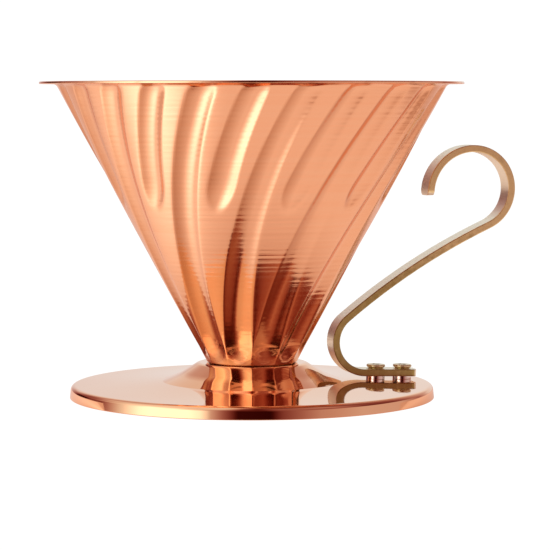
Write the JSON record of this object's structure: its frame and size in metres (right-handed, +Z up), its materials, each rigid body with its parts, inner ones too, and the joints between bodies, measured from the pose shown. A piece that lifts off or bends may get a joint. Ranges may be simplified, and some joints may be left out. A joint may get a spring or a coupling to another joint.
{
  "type": "pour-over coffee dripper",
  "caption": "Ribbed copper cone that holds a paper coffee filter, seated in a round copper base plate with a hooked brass strip handle.",
  "frame": {"origin": "centre of the bounding box in plan, at the table: the cone's axis is 9.0 mm towards -X from it", "axes": "+Z up along the cone's axis, +X from the cone's axis towards the handle"},
  "size_m": [0.138, 0.12, 0.0895],
  "materials": {
    "satin_copper": "satin copper with fine turning lines",
    "polished_copper": "mirror-polished copper",
    "dark_copper": "plain copper",
    "brass": "satin brass",
    "screw_brass": "turned brass",
    "spacer_steel": "bright turned steel",
    "nut_brass": "plain brass"
  },
  "bodies": {
    "root": {"cone": "satin_copper", "base_plate": "polished_copper", "retaining_ring": "dark_copper", "handle": "brass", "screw_1": "screw_brass", "screw_2": "screw_brass", "spacer_1": "spacer_steel", "spacer_2": "spacer_steel", "nut_1": "nut_brass", "nut_2": "nut_brass"}
  },
  "joints": []
}
